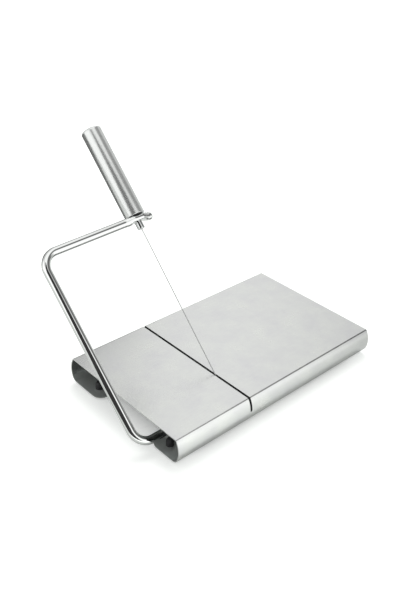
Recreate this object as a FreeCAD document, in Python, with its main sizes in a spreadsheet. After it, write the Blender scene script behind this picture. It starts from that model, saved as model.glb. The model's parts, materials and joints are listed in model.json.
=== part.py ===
import FreeCAD, Part
import math
import os

import Sketcher
from FreeCAD import Vector

# Cheese slicer: a stainless board rolled from one sheet, with a bent rod arm
# that swings about an axle under the board and carries a taut cutting wire.
# Turning the handle draws a ferrule up through the rod's eye and tightens the
# wire. Lengths are in millimetres, angles in degrees. The origin is the middle
# of the cutting face, +Z up, +X along the board away from the arm, +Y towards
# the edge that the handle closes over.

# Driving sizes, written to the sheet under these names
SIZES = {
    # Board: the sheet and its rolled long sides
    "board_length": 210.0,
    "top_width": 120.0,
    "sheet": 0.8,
    "lip_radius": 1.4,
    "lip_turn": 59.0,
    "side_radius": 19.5,
    "side_turn": 51.0,
    "roll_radius": 5.8,
    "front_flange_edge": 27.5,
    "back_flange_edge": 32.0,
    "flange_corner": 7.5,
    # Slot for the wire
    "slot_offset": 70.65,
    "slot_width": 1.6,
    "slot_front_depth": 10.85,
    "slot_back_depth": 15.5,
    # Push-in rubber feet
    "foot_end_inset": 9.0,
    "foot_front_inset": 15.7,
    "foot_back_inset": 20.2,
    "foot_head": 5.9,
    "foot_head_height": 6.0,
    "foot_head_cone": 2.0,
    "foot_head_step": 1.0,
    "foot_neck": 4.6,
    "foot_play": 0.1,
    "foot_pad": 11.0,
    "foot_pad_height": 2.2,
    "foot_pad_round": 0.7,
    # Axle and arm
    "axle_inset": 22.2,
    "axle_depth": 13.15,
    "rod": 6.4,
    "arm_angle": 45.2,
    "leg_offset": 14.0,
    "leg_lean": 1.3,
    "leg_length": 148.9,
    "bend_radius": 12.5,
    "top_rise": 1.9,
    "axle_tail": 5.0,
    "axle_tip": 0.6,
    # Lugs and their bushes
    "outer_lug_inset": 16.0,
    "inner_lug_gap": 10.0,
    "lug_plate": 1.5,
    "lug_width": 13.4,
    "lug_foot": 14.0,
    "lug_bend": 1.5,
    "lug_corner": 5.0,
    "lug_drop": 6.7,
    "bush_wall": 1.3,
    "bush_flange": 1.0,
    "bush_flange_rim": 1.7,
    "bush_tail": 0.5,
    "running_gap": 0.05,
    "seat_gap": 0.02,
    # Retaining clips
    "clip_sheet": 0.8,
    "clip_groove": 5.2,
    "clip_outer": 10.6,
    "clip_mouth": 4.6,
    "clip_play": 0.3,
    "groove_play": 0.04,
    # Eye pressed flat near the rod's end, with a round nub left beyond it
    "eye_thickness": 4.6,
    "eye_bulge": 1.5,
    "eye_width": 10.0,
    "eye_back": 13.0,
    "eye_flat_margin": 0.6,
    "eye_hole_play": 0.1,
    "nub_start": 10.8,
    "nub_end": 13.6,
    "nub_round": 2.0,
    "nub_drop": 1.1,
    # Ferrule with its thread, and the wire
    "ferrule_drop": 6.2,
    "ferrule": 5.8,
    "shoulder_gap": 0.3,
    "ferrule_chamfer": 0.5,
    "thread": 4.9,
    "thread_reach": 2.5,
    "wire": 0.7,
    "wire_hole": 1.4,
    "wire_kink_radius": 40.0,
    "ball": 2.8,
    "ball_seat": 0.5,
    "wire_stub": 0.3,
    # Handle
    "grip_lean": 0.9,
    "grip": 16.0,
    "grip_length": 75.3,
    "grip_wall": 1.2,
    "grip_round": 2.0,
    "grip_rim": 0.5,
    "insert_length": 14.0,
    "washer": 0.3,
    "washer_outer": 12.0,
    "washer_play": 0.2,
    "turning_gap": 0.1,
}

doc = FreeCAD.newDocument("cheese_slicer")
sheet = doc.addObject("Spreadsheet::Sheet", "Sizes")
for row, (word, number) in enumerate(SIZES.items(), start=1):
    sheet.set(f"A{row}", word)
    sheet.set(f"B{row}", str(number))
    sheet.setAlias(f"B{row}", word)
doc.recompute()


class Size:
    """A length or angle that knows its number and its formula in the sheet."""

    def __init__(self, number, formula=None):
        self.number = float(number)
        self.formula = formula or f"({number})"

    def _join(self, other, sign, number):
        return Size(number, f"({self.formula} {sign} {other.formula})")

    def __add__(self, other):
        other = as_size(other)
        return self._join(other, "+", self.number + other.number)

    def __sub__(self, other):
        other = as_size(other)
        return self._join(other, "-", self.number - other.number)

    def __mul__(self, other):
        other = as_size(other)
        return self._join(other, "*", self.number * other.number)

    def __truediv__(self, other):
        other = as_size(other)
        return self._join(other, "/", self.number / other.number)

    def __neg__(self):
        return Size(-self.number, f"(-{self.formula})")


def as_size(value):
    return value if isinstance(value, Size) else Size(value)


def sine(angle):
    return Size(math.sin(math.radians(angle.number)), f"sin({angle.formula})")


def cosine(angle):
    return Size(math.cos(math.radians(angle.number)), f"cos({angle.formula})")


def tangent(angle):
    return Size(math.tan(math.radians(angle.number)), f"tan({angle.formula})")


class Sheet:
    """Reads the sheet's cells as sizes: S.rod, S.grip and so on."""

    def __getattr__(self, word):
        return Size(sheet.get(word), f"Sizes.{word}")


S = Sheet()


def bind(thing, **sizes):
    """Ties properties of an object to formulas of the sheet."""
    for name, value in sizes.items():
        thing.setExpression(name, as_size(value).formula)


def place(thing, at, turns=()):
    """Ties a Placement to the sheet: a point, then turns about x, y or z in order."""
    axes = {"x": "vector(1; 0; 0)", "y": "vector(0; 1; 0)", "z": "vector(0; 0; 1)"}
    x, y, z = (as_size(value).formula for value in at)
    turn = " * ".join(f"rotation({axes[axis]}; {as_size(angle).formula})" for axis, angle in turns)
    turn = turn or f"rotation({axes['z']}; 0)"
    thing.setExpression("Placement", f"placement(vector({x}; {y}; {z}); {turn})")
    return thing


def body(name):
    return doc.addObject("PartDesign::Body", name)


def sketch_on(owner, role, name, lift=None):
    """A sketch on one of a body's own origin planes, lifted along its normal."""
    plane = next(item for item in owner.Origin.OriginFeatures if item.Role == role)
    sketch = owner.newObject("Sketcher::SketchObject", name)
    sketch.AttachmentSupport = [(plane, "")]
    sketch.MapMode = "FlatFace"
    if lift is not None:
        sketch.setExpression("AttachmentOffset.Base.z", as_size(lift).formula)
    return sketch


def constrain(sketch, kind, *places, to=None, degrees=False):
    """Adds a constraint, tied to the sheet where it has a size."""
    if to is None:
        return sketch.addConstraint(Sketcher.Constraint(kind, *places))
    value = as_size(to)
    number = math.radians(value.number) if degrees else value.number
    index = sketch.addConstraint(Sketcher.Constraint(kind, *places, number))
    unit = " * 1 deg" if degrees else " * 1 mm"
    sketch.setExpression(f"Constraints[{index}]", value.formula + unit)
    return index


def pin_point(sketch, item, end, x, y):
    """Holds one point of a sketch at x and y."""
    for kind, axis, value in (("DistanceX", -2, x), ("DistanceY", -1, y)):
        if as_size(value).number == 0:
            constrain(sketch, "PointOnObject", item, end, axis)
        else:
            constrain(sketch, kind, item, end, to=value)


def outline(sketch, corners):
    """A closed outline of straight lines through corners given as sizes."""
    points = [Vector(as_size(x).number, as_size(y).number, 0) for x, y in corners]
    first = sketch.GeometryCount
    for start, end in zip(points, points[1:] + points[:1]):
        sketch.addGeometry(Part.LineSegment(start, end))
    count = len(corners)
    for index in range(count):
        constrain(sketch, "Coincident", first + index, 2, first + (index + 1) % count, 1)
    for index, (x, y) in enumerate(corners):
        pin_point(sketch, first + index, 1, x, y)


def ring(sketch, radius, x=0, y=0):
    """A circle of one radius about a point."""
    centre = Vector(as_size(x).number, as_size(y).number, 0)
    index = sketch.addGeometry(Part.Circle(centre, Vector(0, 0, 1), as_size(radius).number))
    pin_point(sketch, index, 3, x, y)
    constrain(sketch, "Radius", index, to=radius)


def pad(owner, sketch, name, length, both_ways=False):
    feature = owner.newObject("PartDesign::Pad", name)
    feature.Profile = sketch
    if both_ways:
        feature.SideType = "Symmetric"
    bind(feature, Length=length)
    return feature


def pocket(owner, sketch, name, length, reverse=False):
    """A pocket that has to take metal away: the volumes are compared."""
    before = owner.Tip.Shape.Volume
    feature = owner.newObject("PartDesign::Pocket", name)
    feature.Profile = sketch
    feature.Reversed = reverse
    bind(feature, Length=length)
    doc.recompute()
    if feature.Shape.Volume >= before:
        raise RuntimeError(f"{name} cuts nothing")
    return feature


def edges_where(feature, test):
    """Names of the edges of a feature whose geometry passes a test."""
    return [f"Edge{index}" for index, edge in enumerate(feature.Shape.Edges, start=1) if test(edge)]


def round_edges(owner, name, test, radius):
    base = owner.Tip
    feature = owner.newObject("PartDesign::Fillet", name)
    feature.Base = (base, edges_where(base, test))
    bind(feature, Radius=radius)
    return feature


def rim(radius, height):
    """Test for a circular edge about Z with this radius at this height."""
    radius, height = as_size(radius).number, as_size(height).number

    def test(edge):
        if not isinstance(edge.Curve, Part.Circle):
            return False
        return abs(edge.Curve.Radius - radius) < 1e-4 and abs(edge.Curve.Center.z - height) < 1e-4

    return test


def turned(name, corners):
    """A piece turned about its own Z axis, from a half section of radius and height."""
    owner = body(name)
    sketch = sketch_on(owner, "XZ_Plane", f"{name}_section")
    outline(sketch, corners)
    feature = owner.newObject("PartDesign::Revolution", f"{name}_turning")
    feature.Profile = sketch
    feature.ReferenceAxis = (sketch, ["V_Axis"])
    feature.Angle = 360.0
    doc.recompute()
    return owner


def primitive(kind, name, at=(0, 0, 0), turns=(), **sizes):
    """A Part primitive with sizes and place tied to the sheet."""
    thing = doc.addObject(f"Part::{kind}", name)
    bind(thing, **sizes)
    place(thing, at, turns)
    return thing


def cut(name, base, tool):
    thing = doc.addObject("Part::Cut", name)
    thing.Base = base
    thing.Tool = tool
    return thing


def fuse(name, pieces):
    thing = doc.addObject("Part::MultiFuse", name)
    thing.Shapes = pieces
    thing.Refine = True
    return thing


nodes = []


def keep(thing, label):
    """Marks a finished object as a sub-part under the name of its file."""
    thing.Label = label
    nodes.append(thing)
    return thing


# Places that several pieces share
BOARD_END = S.board_length / 2
FRONT_EDGE = -(S.top_width / 2)
SLOT_X = S.slot_offset - BOARD_END
AXLE_Y = S.axle_inset + FRONT_EDGE
AXLE_Z = -S.axle_depth
SIDE_END = S.lip_turn + S.side_turn
BOARD_HEIGHT = (
    S.lip_radius * (Size(1) - cosine(S.lip_turn))
    + S.side_radius * (cosine(S.lip_turn) - cosine(SIDE_END))
    + S.roll_radius * (cosine(SIDE_END) + 1)
)

# Distances along the grip axis, from the ferrule's lower end
EYE_LOW = S.ferrule_drop
EYE_MIDDLE = EYE_LOW + S.eye_thickness / 2
EYE_TOP = EYE_LOW + S.eye_thickness
WASHER_TOP = EYE_TOP + S.washer
GRIP_BOTTOM = WASHER_TOP + S.turning_gap
SHOULDER = GRIP_BOTTOM - S.shoulder_gap
SCREW_TOP = GRIP_BOTTOM + S.insert_length + S.thread_reach
BALL_RADIUS = S.ball / 2
UPPER_BALL = SCREW_TOP + BALL_RADIUS - S.ball_seat + S.running_gap
LOWER_BALL = -(S.rod / 2 + BALL_RADIUS - S.ball_seat)

# The rod's corners in the arm's plane, and how high its top leg crosses the slot
LOW_CORNER_X = -(S.slot_offset + S.leg_offset)
HIGH_CORNER_X = LOW_CORNER_X - S.leg_length * tangent(S.leg_lean)
EYE_HEIGHT = S.leg_length - HIGH_CORNER_X * tangent(S.top_rise)
MOUTH_HEIGHT = EYE_HEIGHT - EYE_MIDDLE


def on_arm(thing, along=0, turns=()):
    """Places a piece in the arm's plane: x along the axle, y up the arm, z square to it."""
    return place(thing, (SLOT_X + as_size(along), AXLE_Y, AXLE_Z), (("x", S.arm_angle),) + tuple(turns))


def on_grip(thing, height):
    """Places a turned piece on the grip axis, at a height above the ferrule's lower end."""
    reach = MOUTH_HEIGHT + as_size(height) * cosine(S.grip_lean)
    at = (
        SLOT_X - as_size(height) * sine(S.grip_lean),
        AXLE_Y + reach * cosine(S.arm_angle),
        AXLE_Z + reach * sine(S.arm_angle),
    )
    return place(thing, at, (("x", S.arm_angle - 90), ("y", -S.grip_lean)))


# Board
def rolled_side(sketch, flat, side, inset):
    """The rolled side and flange at one end of the flat line: three arcs and a line.

    Each arc leaves the last one at a tangent, so the turns add up to half a turn.
    """
    reach = (S.top_width / 2).number * side
    radii = [S.lip_radius - inset, S.side_radius - inset, S.roll_radius - inset]
    turns = [S.lip_turn, S.side_turn, Size(180) - SIDE_END]
    heading = 90.0
    centre = Vector(reach, -radii[0].number - as_size(inset).number, 0)
    upper, lower = (2, 1) if side > 0 else (1, 2)
    joined, joined_end = flat, (2 if side > 0 else 1)
    for index, (radius, turn) in enumerate(zip(radii, turns)):
        after = heading - turn.number
        if side > 0:
            limits = math.radians(after), math.radians(heading)
        else:
            limits = math.radians(180 - heading), math.radians(180 - after)
        circle = Part.Circle(centre, Vector(0, 0, 1), radius.number)
        arc = sketch.addGeometry(Part.ArcOfCircle(circle, *limits))
        constrain(sketch, "Tangent", joined, joined_end, arc, upper)
        constrain(sketch, "Radius", arc, to=radius)
        constrain(sketch, "Angle", arc, to=turn, degrees=True)
        joined, joined_end = arc, lower
        heading = after
        if index < 2:
            step = radius.number - radii[index + 1].number
            direction = math.radians(heading)
            centre = centre + Vector(side * step * math.cos(direction), step * math.sin(direction), 0)
    low = centre.y - radii[2].number
    flange_edge = S.back_flange_edge if side > 0 else S.front_flange_edge
    edge = (S.top_width / 2 - flange_edge) * side
    flange = sketch.addGeometry(Part.LineSegment(Vector(centre.x, low, 0), Vector(edge.number, low, 0)))
    constrain(sketch, "Tangent", joined, joined_end, flange, 1)
    return flange, edge


def sheet_face(sketch, inset):
    """One face of the sheet across the whole section, the flat first."""
    half = S.top_width / 2
    level = -as_size(inset).number
    flat = sketch.addGeometry(Part.LineSegment(Vector(-half.number, level, 0), Vector(half.number, level, 0)))
    pin_point(sketch, flat, 1, -half, -as_size(inset))
    constrain(sketch, "Horizontal", flat)
    constrain(sketch, "DistanceX", flat, 2, to=half)
    return [rolled_side(sketch, flat, side, inset) for side in (1, -1)]


def make_board():
    board = body("board_body")
    section = sketch_on(board, "YZ_Plane", "board_section")
    outside = sheet_face(section, 0)
    inside = sheet_face(section, S.sheet)
    for (outer, edge), (inner, _) in zip(outside, inside):
        constrain(section, "DistanceX", outer, 2, to=edge)
        start = section.Geometry[outer].EndPoint
        end = section.Geometry[inner].EndPoint
        lip = section.addGeometry(Part.LineSegment(start, end))
        constrain(section, "Coincident", outer, 2, lip, 1)
        constrain(section, "Coincident", inner, 2, lip, 2)
        constrain(section, "Vertical", lip)
    pad(board, section, "board_sheet", S.board_length, both_ways=True)
    doc.recompute()

    # The slot crosses the top and runs down both rolled sides to round ends
    for name, depth, reverse in (
        ("front_slot", S.slot_front_depth, True),
        ("back_slot", S.slot_back_depth, False),
    ):
        slot = sketch_on(board, "XZ_Plane", f"{name}_shape")
        left = SLOT_X - S.slot_width / 2
        right = SLOT_X + S.slot_width / 2
        bottom = S.slot_width / 2 - depth
        above = S.sheet
        corners = [(left, bottom), (left, above), (right, above), (right, bottom)]
        points = [Vector(as_size(x).number, as_size(y).number, 0) for x, y in corners]
        for start, end in zip(points, points[1:]):
            slot.addGeometry(Part.LineSegment(start, end))
        circle = Part.Circle(Vector(SLOT_X.number, bottom.number, 0), Vector(0, 0, 1), S.slot_width.number / 2)
        arc = slot.addGeometry(Part.ArcOfCircle(circle, math.pi, 2 * math.pi))
        constrain(slot, "Coincident", 0, 2, 1, 1)
        constrain(slot, "Coincident", 1, 2, 2, 1)
        constrain(slot, "Tangent", 2, 2, arc, 2)
        constrain(slot, "Tangent", arc, 1, 0, 1)
        constrain(slot, "Vertical", 0)
        constrain(slot, "Horizontal", 1)
        pin_point(slot, 0, 2, left, above)
        constrain(slot, "DistanceX", 1, 2, to=right)
        constrain(slot, "DistanceY", 2, 2, to=bottom)
        pocket(board, slot, name, S.top_width, reverse)

    # Holes for the feet, through the flanges
    holes = sketch_on(board, "XY_Plane", "foot_holes_shape", S.sheet - BOARD_HEIGHT)
    for x, y in foot_places():
        ring(holes, S.foot_neck / 2 + S.foot_play / 2, x, y)
    pocket(board, holes, "foot_holes", S.sheet * 2)

    # Rounded corners of the flanges
    half = BOARD_END.number
    flange_edges = (
        (S.front_flange_edge - S.top_width / 2).number,
        (S.top_width / 2 - S.back_flange_edge).number,
    )

    def flange_corner(edge):
        middle = edge.CenterOfMass
        upright = abs(edge.BoundBox.ZLength - S.sheet.number) < 1e-4 and edge.BoundBox.XLength < 1e-4
        at_end = abs(abs(middle.x) - half) < 1e-4
        return upright and at_end and any(abs(middle.y - y) < 1e-4 for y in flange_edges)

    round_edges(board, "flange_corners", flange_corner, S.flange_corner)
    return keep(board, "board")


# Rubber feet, pushed through the flanges
def foot_places():
    across = BOARD_END - S.foot_end_inset
    front = S.foot_front_inset - S.top_width / 2
    back = S.top_width / 2 - S.foot_back_inset
    return [(-across, front), (across, front), (-across, back), (across, back)]


def make_feet():
    names = ("foot_front_left", "foot_front_right", "foot_back_left", "foot_back_right")
    head = S.foot_head / 2
    neck = S.foot_neck / 2
    padding = S.foot_pad / 2
    top = S.sheet + S.foot_head_height
    for name, (x, y) in zip(names, foot_places()):
        foot = turned(name, [
            (0, -S.foot_pad_height),
            (padding, -S.foot_pad_height),
            (padding, 0),
            (neck, 0),
            (neck, S.sheet),
            (head, S.sheet),
            (head, top - S.foot_head_cone),
            (head - S.foot_head_step, top),
            (0, top),
        ])
        round_edges(foot, f"{name}_rim", rim(padding, -S.foot_pad_height), S.foot_pad_round)
        place(foot, (x, y, -BOARD_HEIGHT))
        keep(foot, name)


# Lugs that carry the axle, bent from strip and welded under the top
LUG_HOLE = S.rod / 2 + S.running_gap + S.bush_wall + S.seat_gap
OUTER_LUG_X = S.outer_lug_inset - BOARD_END
INNER_LUG_X = SLOT_X - S.inner_lug_gap


def make_lug(name, x, half_turn):
    """A strip bent square: a foot on the sheet's underside and an upright with the hole.

    Its own origin is on the upright's outer face, level with the sheet's underside.
    """
    lug = body(f"{name}_body")
    section = sketch_on(lug, "XZ_Plane", f"{name}_section")
    drop = S.axle_depth - S.sheet + S.lug_drop
    outline(section, [
        (0, 0),
        (S.lug_foot, 0),
        (S.lug_foot, -S.lug_plate),
        (S.lug_plate, -S.lug_plate),
        (S.lug_plate, -drop),
        (0, -drop),
    ])
    pad(lug, section, f"{name}_strip", S.lug_width, both_ways=True)
    doc.recompute()

    def along_y_at(across, height):
        def test(edge):
            box = edge.BoundBox
            level = abs(box.XLength) < 1e-4 and abs(box.ZLength) < 1e-4
            return level and abs(box.XMin - across.number) < 1e-4 and abs(box.ZMin - height.number) < 1e-4
        return test

    round_edges(lug, f"{name}_inner_bend", along_y_at(S.lug_plate, -S.lug_plate), S.lug_bend)
    doc.recompute()
    round_edges(lug, f"{name}_outer_bend", along_y_at(Size(0), Size(0)), S.lug_bend + S.lug_plate)
    doc.recompute()

    def corner(edge):
        box = edge.BoundBox
        across = abs(box.YLength) < 1e-4 and abs(box.ZLength) < 1e-4
        return across and abs(box.ZMin + drop.number) < 1e-4

    round_edges(lug, f"{name}_corners", corner, S.lug_corner)
    doc.recompute()
    hole = sketch_on(lug, "YZ_Plane", f"{name}_hole_shape")
    ring(hole, LUG_HOLE, 0, S.sheet - S.axle_depth)
    pocket(lug, hole, f"{name}_hole", S.lug_plate * 2, reverse=True)
    place(lug, (x, AXLE_Y, -S.sheet), (("z", 180 if half_turn else 0),))
    return keep(lug, name)


def make_bush(name, x, half_turn):
    """A flanged nylon bush, pushed into the lug from its outer side, gripping the axle."""
    bore = S.rod / 2 + S.running_gap
    barrel = bore + S.bush_wall
    rim_radius = barrel + S.bush_flange_rim
    length = S.lug_plate + S.bush_tail
    bush = turned(name, [
        (bore, -length),
        (barrel, -length),
        (barrel, 0),
        (rim_radius, 0),
        (rim_radius, S.bush_flange),
        (bore, S.bush_flange),
    ])
    place(bush, (x, AXLE_Y, AXLE_Z), (("y", 90 if half_turn else -90),))
    return keep(bush, name)


# Retaining clips snapped into grooves of the axle, outside the bushes
OUTER_CLIP = OUTER_LUG_X - SLOT_X - S.bush_flange - S.clip_play - S.clip_sheet
INNER_CLIP = S.clip_play + S.bush_flange - S.inner_lug_gap


def make_clip(name, along):
    """An open ring that lies in the groove, its mouth towards the lower side of the arm."""
    disc = primitive("Cylinder", f"{name}_disc", Radius=S.clip_outer / 2, Height=S.clip_sheet)
    hole = primitive("Cylinder", f"{name}_hole", Radius=S.clip_groove / 2 + S.groove_play, Height=S.clip_sheet)
    mouth = primitive(
        "Box", f"{name}_mouth", at=(0, -(S.clip_mouth / 2), 0),
        Length=S.clip_outer, Width=S.clip_mouth, Height=S.clip_sheet,
    )
    clip = cut(f"{name}_ring", cut(f"{name}_annulus", disc, hole), mouth)
    on_arm(clip, along, (("y", 90),))
    return keep(clip, name)


# Wire arm
FLAT_REACH = S.grip / 2 + S.eye_flat_margin
WIDEST_REACH = FLAT_REACH / 2


def rod_path():
    """The rod's centre line in the arm's plane: axle, bend, side leg, bend and top leg."""
    path = doc.addObject("Sketcher::SketchObject", "rod_path")
    eye_x = -S.eye_back
    eye_y = EYE_HEIGHT + eye_x * tangent(S.top_rise)
    knots = [
        Vector(S.axle_tail.number, 0, 0),
        Vector(LOW_CORNER_X.number, 0, 0),
        Vector(HIGH_CORNER_X.number, S.leg_length.number, 0),
        Vector(eye_x.number, eye_y.number, 0),
    ]
    radius = S.bend_radius.number
    points = [knots[0]]
    arcs = []
    for before, knot, after in zip(knots, knots[1:], knots[2:]):
        arriving = (knot - before).normalize()
        leaving = (after - knot).normalize()
        trim = radius * math.tan(arriving.getAngle(leaving) / 2)
        first = knot - arriving * trim
        last = knot + leaving * trim
        centre = first + Vector(arriving.y, -arriving.x, 0) * radius
        points += [first, last]
        arcs.append((first, last, centre))
    points.append(knots[3])
    lines = [
        path.addGeometry(Part.LineSegment(points[index], points[index + 1]))
        for index in (0, 2, 4)
    ]
    for first, last, centre in arcs:
        start = math.atan2(last.y - centre.y, last.x - centre.x)
        end = math.atan2(first.y - centre.y, first.x - centre.x)
        if end < start:
            end += 2 * math.pi
        path.addGeometry(Part.ArcOfCircle(Part.Circle(centre, Vector(0, 0, 1), radius), start, end))
    for line, arc in ((0, 3), (1, 4)):
        constrain(path, "Tangent", lines[line], 2, arc, 2)
        constrain(path, "Tangent", lines[line + 1], 1, arc, 1)
        constrain(path, "Radius", arc, to=S.bend_radius)
    pin_point(path, 0, 1, S.axle_tail, 0)
    constrain(path, "Horizontal", 0)
    corner = path.addGeometry(Part.Point(knots[1]), True)
    constrain(path, "PointOnObject", corner, 1, 1)
    pin_point(path, corner, 1, LOW_CORNER_X, 0)
    upper = path.addGeometry(Part.Point(knots[2]), True)
    for line in (1, 2):
        constrain(path, "PointOnObject", upper, 1, line)
    pin_point(path, upper, 1, HIGH_CORNER_X, S.leg_length)
    pin_point(path, 2, 2, eye_x, eye_y)
    return path


def eye_loft():
    """The rod's pressed end: round on the rod, a wide oval at the eye, and round again."""
    rod = S.rod / 2
    wide = S.eye_width / 2
    thick = S.eye_thickness / 2 + S.eye_bulge
    stations = [
        (-S.eye_back, Size(0), rod, rod, S.top_rise),
        (-FLAT_REACH, Size(0), (wide + rod) / 2, rod, S.grip_lean),
        (-WIDEST_REACH, Size(0), wide, thick, S.grip_lean),
        (WIDEST_REACH, Size(0), wide, thick, S.grip_lean),
        (FLAT_REACH, S.nub_drop / 2, (wide + rod) / 2, rod, S.grip_lean),
        (S.nub_start, S.nub_drop, rod, rod, S.grip_lean),
    ]
    rings = []
    for index, (x, drop, half_width, half_thick, slant) in enumerate(stations):
        rings.append(primitive(
            "Ellipse", f"eye_section_{index}", at=(x, EYE_HEIGHT + x * tangent(slant) - drop, 0),
            turns=(("z", slant), ("y", -90)), MajorRadius=half_width, MinorRadius=half_thick,
        ))
    loft = doc.addObject("Part::Loft", "eye_forging")
    loft.Sections = rings
    loft.Solid = True
    return loft


def make_nub():
    """The round end of the rod beyond the eye."""
    length = S.nub_end - S.nub_start
    nub = turned("nub", [(0, 0), (S.rod / 2, 0), (S.rod / 2, length), (0, length)])
    round_edges(nub, "nub_end_round", rim(S.rod / 2, length), S.nub_round)
    at = (S.nub_start, EYE_HEIGHT + S.nub_start * tangent(S.grip_lean) - S.nub_drop, 0)
    return place(nub, at, (("z", S.grip_lean), ("y", 90)))


def make_arm():
    path = rod_path()
    section = primitive("Circle", "rod_section", at=(S.axle_tail, 0, 0), turns=(("y", 90),), Radius=S.rod / 2)
    doc.recompute()
    rod = doc.addObject("Part::Sweep", "rod_sweep")
    rod.Sections = [section]
    rod.Spine = (path, [f"Edge{index}" for index in range(1, 6)])
    rod.Solid = True
    tip = primitive(
        "Cone", "axle_tip", at=(S.axle_tail, 0, 0), turns=(("y", 90),),
        Radius1=S.rod / 2, Radius2=S.rod / 2 - S.axle_tip, Height=S.axle_tip,
    )
    forged = fuse("forged_rod", [rod, tip, eye_loft(), make_nub()])

    # Flats of the eye, square to the grip axis, and the ferrule's hole
    tools = []
    lean = S.grip_lean
    for name, height in (("eye_top_flat", EYE_TOP), ("eye_low_flat", EYE_LOW - S.rod)):
        tools.append(primitive(
            "Box", name,
            at=(
                -(FLAT_REACH * cosine(lean)) - height * sine(lean),
                MOUTH_HEIGHT + height * cosine(lean) - FLAT_REACH * sine(lean),
                -S.rod,
            ),
            turns=(("z", lean),),
            Length=FLAT_REACH * 2, Width=S.rod, Height=S.rod * 2,
        ))
    tools.append(primitive(
        "Cylinder", "ferrule_hole", at=(0, MOUTH_HEIGHT, 0), turns=(("z", S.grip_lean), ("x", -90)),
        Radius=S.ferrule / 2 + S.eye_hole_play, Height=GRIP_BOTTOM + S.rod,
    ))

    # Cross hole for the wire with a seat for its ball, and the clips' grooves
    tools.append(primitive(
        "Cylinder", "wire_cross_hole", at=(0, -S.rod, 0), turns=(("x", -90),),
        Radius=S.wire_hole / 2, Height=S.rod * 2,
    ))
    tools.append(primitive("Sphere", "ball_seat_cut", at=(0, LOWER_BALL, 0), Radius=BALL_RADIUS + S.seat_gap))
    for name, along in (("outer_groove", OUTER_CLIP), ("inner_groove", INNER_CLIP)):
        start = along - S.groove_play
        width = S.clip_sheet + S.groove_play * 2
        outer = primitive("Cylinder", f"{name}_outer", (start, 0, 0), (("y", 90),), Radius=S.rod, Height=width)
        core = primitive(
            "Cylinder", f"{name}_core", (start, 0, 0), (("y", 90),), Radius=S.clip_groove / 2, Height=width,
        )
        tools.append(cut(name, outer, core))
    arm = cut("wire_arm_body", forged, fuse("arm_cuts", tools))
    on_arm(arm)
    return keep(arm, "wire_arm")


# Cutting wire with a ball at each end
def make_wire():
    """The wire's line up the arm, turned a little at the ferrule's mouth to the grip axis."""
    path = doc.addObject("Sketcher::SketchObject", "wire_path")
    lean = S.grip_lean
    low = LOWER_BALL - BALL_RADIUS - S.wire_stub
    top = UPPER_BALL + BALL_RADIUS + S.wire_stub
    top_x = -(top * sine(lean))
    top_y = MOUTH_HEIGHT + top * cosine(lean)
    trim = (S.wire_kink_radius * tangent(lean / 2)).number
    angle = math.radians(lean.number)
    start = Vector(0, low.number, 0)
    first = Vector(0, MOUTH_HEIGHT.number - trim, 0)
    last = Vector(-trim * math.sin(angle), MOUTH_HEIGHT.number + trim * math.cos(angle), 0)
    end = Vector(top_x.number, top_y.number, 0)
    centre = first - Vector(S.wire_kink_radius.number, 0, 0)
    path.addGeometry(Part.LineSegment(start, first))
    path.addGeometry(Part.LineSegment(last, end))
    circle = Part.Circle(centre, Vector(0, 0, 1), S.wire_kink_radius.number)
    path.addGeometry(Part.ArcOfCircle(circle, 0, angle))
    constrain(path, "Tangent", 0, 2, 2, 1)
    constrain(path, "Tangent", 2, 2, 1, 1)
    constrain(path, "Radius", 2, to=S.wire_kink_radius)
    pin_point(path, 0, 1, 0, low)
    constrain(path, "Vertical", 0)
    pin_point(path, 1, 2, top_x, top_y)
    constrain(path, "Angle", 2, to=lean, degrees=True)
    section = primitive("Circle", "wire_section", at=(0, low, 0), turns=(("x", -90),), Radius=S.wire / 2)
    doc.recompute()
    wire = doc.addObject("Part::Sweep", "wire_sweep")
    wire.Sections = [section]
    wire.Spine = (path, ["Edge1", "Edge2", "Edge3"])
    wire.Solid = True
    on_arm(wire)
    keep(wire, "cutting_wire")


def make_ball(name, on_axis, height):
    """A ball swaged on the wire's end, bored for the wire."""
    ball = primitive("Sphere", f"{name}_round", Radius=BALL_RADIUS)
    bore = primitive(
        "Cylinder", f"{name}_bore", at=(0, 0, -S.ball), Radius=S.wire / 2 + S.seat_gap, Height=S.ball * 2,
    )
    piece = cut(f"{name}_piece", ball, bore)
    if on_axis:
        on_grip(piece, height)
    else:
        up = (AXLE_Y + height * cosine(S.arm_angle), AXLE_Z + height * sine(S.arm_angle))
        place(piece, (SLOT_X, up[0], up[1]), (("x", S.arm_angle - 90),))
    return keep(piece, name)


# Tension screw: the ferrule below, its thread above
def make_tension_screw():
    ferrule = S.ferrule / 2
    bore = S.wire_hole / 2
    chamfer = S.ferrule_chamfer
    screw = turned("tension_screw_body", [
        (bore, 0),
        (ferrule - chamfer, 0),
        (ferrule, chamfer),
        (ferrule, SHOULDER),
        (S.thread / 2, SHOULDER),
        (S.thread / 2, SCREW_TOP - chamfer),
        (S.thread / 2 - chamfer, SCREW_TOP),
        (bore, SCREW_TOP),
    ])
    seat = primitive("Sphere", "upper_ball_seat", at=(0, 0, UPPER_BALL), Radius=BALL_RADIUS + S.running_gap)
    piece = cut("tension_screw_piece", screw, seat)
    on_grip(piece, 0)
    return keep(piece, "tension_screw")


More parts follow.
